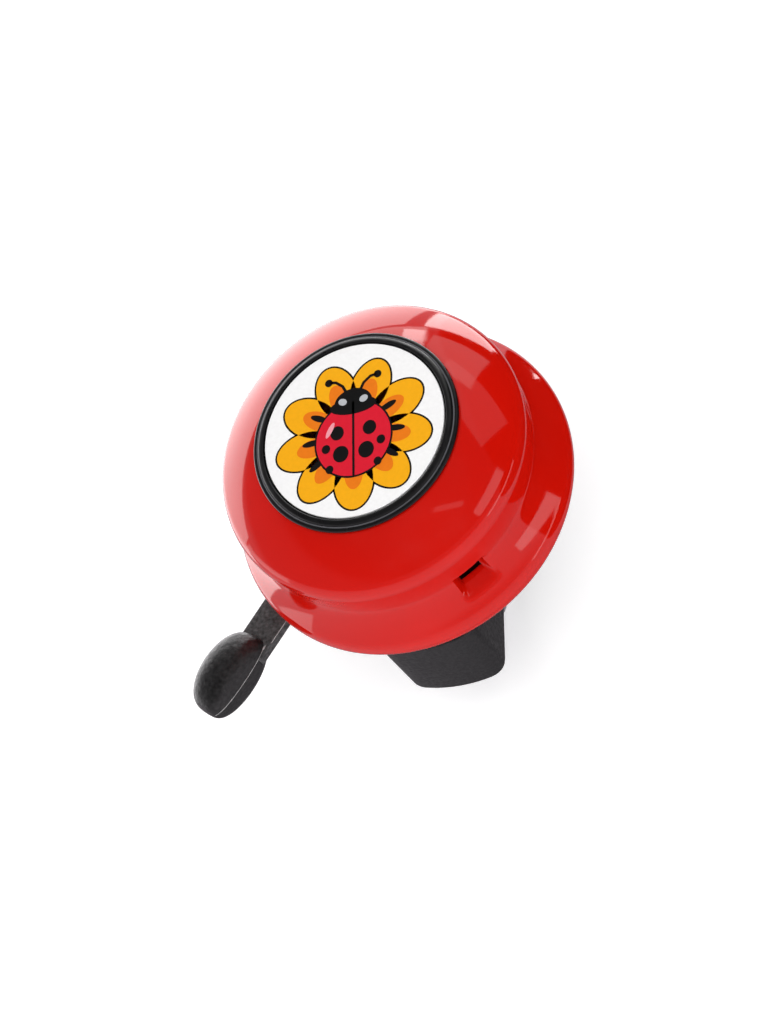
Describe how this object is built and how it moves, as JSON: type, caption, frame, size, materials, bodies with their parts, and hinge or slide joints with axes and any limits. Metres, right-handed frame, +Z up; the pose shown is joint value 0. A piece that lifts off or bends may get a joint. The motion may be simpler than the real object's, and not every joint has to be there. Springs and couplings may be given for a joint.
{
  "type": "bicycle bell",
  "caption": "Two-tier domed bell for a handlebar: a thumb lever and gear train spin loose strikers against the inside of the gong.",
  "frame": {"origin": "centre of the handlebar that the saddle and strap clamp, midway along the saddle", "axes": "+X along the handlebar, +Z up along the bell's axis through the centre post, -Y towards the rider; the thumb lever is on the -X, -Y side"},
  "size_m": [0.0646, 0.0583, 0.0568],
  "materials": {
    "red_paint": "gloss red stove enamel on pressed steel",
    "gloss_black": "smooth satin-gloss black moulding",
    "black_plastic": "fine spark-textured black moulding",
    "printed_disc": "white print under a clear coat",
    "zinc_steel": "bright zinc plating",
    "spring_steel": "bare spring steel",
    "natural_nylon": "natural nylon moulding",
    "black_rubber": "matt black rubber"
  },
  "bodies": {
    "root": {"gong": "red_paint", "badge_cap": "gloss_black", "badge_disc": "printed_disc", "gong_nut": "zinc_steel", "gong_washer": "zinc_steel", "damping_washer": "black_rubber", "spacer_sleeve": "zinc_steel", "centre_post": "zinc_steel", "rotor_thrust_collar": "natural_nylon", "transfer_pin": "zinc_steel", "transfer_clip": "spring_steel", "lever_pin": "zinc_steel", "lever_clip": "spring_steel", "return_spring": "spring_steel", "base_plate": "black_plastic", "clamp_strap": "zinc_steel", "clamp_screw_front": "zinc_steel", "clamp_screw_rear": "zinc_steel", "clamp_nut_front": "zinc_steel", "clamp_nut_rear": "zinc_steel"},
    "lever": {"lever": "black_plastic"},
    "transfer": {"transfer_gear": "natural_nylon"},
    "rotor": {"rotor": "natural_nylon", "striker_pin_a": "zinc_steel", "striker_pin_b": "zinc_steel"},
    "striker_a": {"striker_washer_a": "zinc_steel"},
    "striker_b": {"striker_washer_b": "zinc_steel"}
  },
  "joints": [
    {"name": "rotor_spin", "type": "hinge", "parent": "root", "child": "rotor", "pos_m": [0, 0, 0.024], "axis": [0, 0, -1], "range_deg": [0, 183], "stiffness_Nm_per_rad": 0.0015, "springref_deg": -114.59},
    {"name": "lever_press", "type": "hinge", "parent": "root", "child": "lever", "pos_m": [-0.0153, -0.00352, 0.0185], "axis": [0, 0, -1], "range_deg": [0, 32], "deforming": ["return_spring"]},
    {"name": "transfer_spin", "type": "hinge", "parent": "root", "child": "transfer", "pos_m": [-0.0087, 0.00826, 0.0199], "axis": [0, 0, 1], "range_deg": [0, 83.2]},
    {"name": "striker_a_throw", "type": "slide", "parent": "rotor", "child": "striker_a", "axis": [0.8192, 0.5736, 0], "range_m": [-0.001, 0.001]},
    {"name": "striker_b_throw", "type": "slide", "parent": "rotor", "child": "striker_b", "axis": [-0.8192, -0.5736, 0], "range_m": [-0.001, 0.001]}
  ],
  "couplings": [
    {"joint": "lever_press", "follows": "rotor_spin", "ratio": 0.17483},
    {"joint": "transfer_spin", "follows": "rotor_spin", "ratio": 0.45454}
  ]
}
